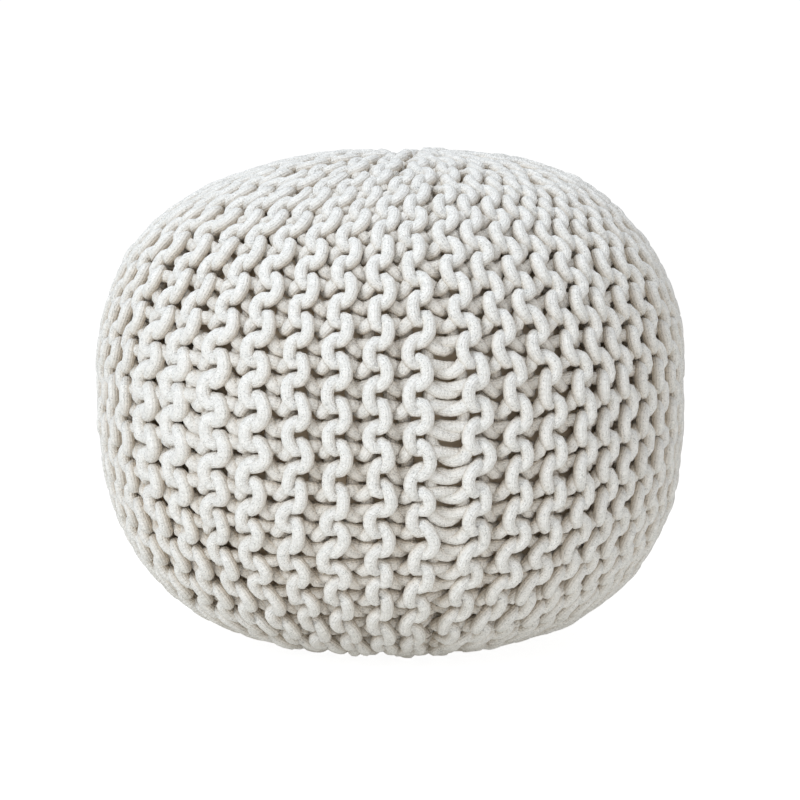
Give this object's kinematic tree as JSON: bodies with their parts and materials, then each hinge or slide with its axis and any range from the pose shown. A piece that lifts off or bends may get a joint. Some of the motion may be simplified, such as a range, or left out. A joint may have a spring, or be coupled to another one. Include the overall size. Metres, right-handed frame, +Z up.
{
  "type": "knitted pouf",
  "caption": "Round filled pouf in chunky off-white garter knit, with a domed crown, drawn-in sides and a flat resting base, used as a footstool or low seat.",
  "frame": {"origin": "centre of the bounding box at floor level, under the middle of the flat base", "axes": "+Z up through the gathered eye of the crown; -Y faces the viewer of the front; ribs run from pole to pole around Z"},
  "size_m": [0.5, 0.5, 0.4189],
  "materials": {
    "yarn": "matte heathered cotton rope, off-white"
  },
  "bodies": {
    "root": {"knitted_pouf": "yarn"}
  },
  "joints": []
}
